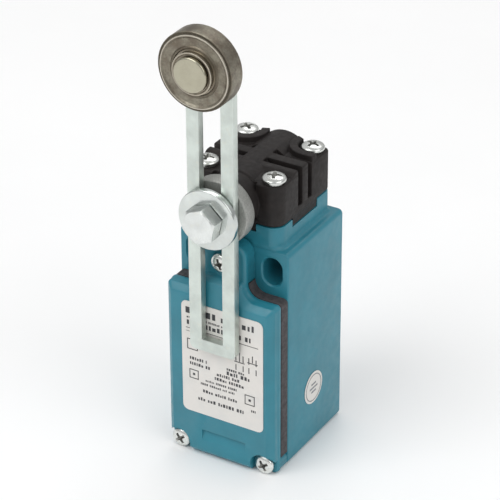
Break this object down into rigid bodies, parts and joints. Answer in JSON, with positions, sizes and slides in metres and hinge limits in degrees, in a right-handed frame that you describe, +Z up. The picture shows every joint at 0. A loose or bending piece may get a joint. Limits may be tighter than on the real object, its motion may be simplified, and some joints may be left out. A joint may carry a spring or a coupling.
{
  "type": "limit switch",
  "caption": "Compact die-cast limit switch with side-rotary head and an adjustable slotted lever carrying a steel roller.",
  "frame": {"origin": "on the rear mounting face, midway between the two mounting slots", "axes": "+Y out of the rear mounting face, so the cover and lever face -Y; +Z up, along the body, from the conduit entry towards the head"},
  "size_m": [0.0302, 0.0449, 0.1199],
  "materials": {
    "teal_paint": "semi-gloss enamel over fine die-cast texture",
    "black_casting": "matte brown-black paint over a die casting",
    "zinc_plate": "bright zinc plate with a faint greenish passivation",
    "rough_zinc": "rough grey sintered or cast zinc",
    "roller_steel": "brown-grey oiled steel, turned faces",
    "pin_steel": "warm bright steel, polished edge",
    "gasket_rubber": "matte dark rubber",
    "label_film": "off-white satin film",
    "bronze": "sintered bronze",
    "block_plastic": "dark moulded thermoset",
    "carrier_plastic": "red moulded plastic",
    "lid_plastic": "grey moulded plastic",
    "contact_silver": "silver-plated contact strip",
    "spring_steel": "bright spring wire"
  },
  "bodies": {
    "base": {"block_lid": "lid_plastic", "block_screw_1": "zinc_plate", "block_screw_2": "zinc_plate", "carrier_spring": "spring_steel", "contact_block": "block_plastic", "cover": "teal_paint", "cover_gasket": "gasket_rubber", "cover_screw_1": "zinc_plate", "cover_screw_2": "zinc_plate", "cover_screw_3": "zinc_plate", "ground_clamp": "zinc_plate", "ground_screw": "zinc_plate", "head_casing": "black_casting", "head_screw_1": "zinc_plate", "head_screw_2": "zinc_plate", "head_screw_3": "zinc_plate", "head_screw_4": "zinc_plate", "head_seal": "gasket_rubber", "housing": "teal_paint", "nc_contact_left": "contact_silver", "nc_contact_right": "contact_silver", "no_contact_left": "contact_silver", "no_contact_right": "contact_silver", "plunger_spring": "spring_steel", "rating_label": "label_film", "shaft_bushing": "bronze", "shaft_seal": "gasket_rubber", "side_sticker": "label_film", "terminal_clamp_1": "zinc_plate", "terminal_clamp_2": "zinc_plate", "terminal_clamp_3": "zinc_plate", "terminal_clamp_4": "zinc_plate", "terminal_screw_1": "zinc_plate", "terminal_screw_2": "zinc_plate", "terminal_screw_3": "zinc_plate", "terminal_screw_4": "zinc_plate"},
    "shaft_assembly": {"shaft": "zinc_plate", "cam": "zinc_plate", "shaft_clip": "spring_steel", "hub": "rough_zinc", "clamp_washer": "zinc_plate", "clamp_bolt": "zinc_plate"},
    "lever": {"lever_arm": "zinc_plate", "roller_bushing": "roller_steel", "roller_spacer": "zinc_plate", "roller_pin": "pin_steel"},
    "roller": {"roller": "roller_steel"},
    "plunger": {"plunger": "carrier_plastic"},
    "carrier": {"contact_carrier": "carrier_plastic", "nc_bridge": "contact_silver", "no_bridge": "contact_silver"}
  },
  "joints": [
    {"name": "lever_rotate", "type": "hinge", "parent": "base", "child": "shaft_assembly", "pos_m": [0, -0.01394, 0.0169], "axis": [0, 1, 0], "range_deg": [-75, 75], "stiffness_Nm_per_rad": 0.09},
    {"name": "lever_adjust", "type": "slide", "parent": "shaft_assembly", "child": "lever", "axis": [0, 0, 1], "range_m": [-0.022, 0.03], "stiffness_N_per_m": 400},
    {"name": "roller_spin", "type": "hinge", "parent": "lever", "child": "roller", "pos_m": [0, -0.0401, 0.0567], "axis": [0, 1, 0], "continuous": true},
    {"name": "plunger_slide", "type": "slide", "parent": "base", "child": "plunger", "axis": [0, 0, -1], "range_m": [0, 0.0025], "stiffness_N_per_m": 400, "deforming": ["plunger_spring"]},
    {"name": "carrier_slide", "type": "slide", "parent": "base", "child": "carrier", "axis": [0, 0, -1], "range_m": [0, 0.0025], "stiffness_N_per_m": 200, "deforming": ["carrier_spring"]}
  ],
  "couplings": [
    {"joint": "carrier_slide", "follows": "plunger_slide", "ratio": 1}
  ]
}
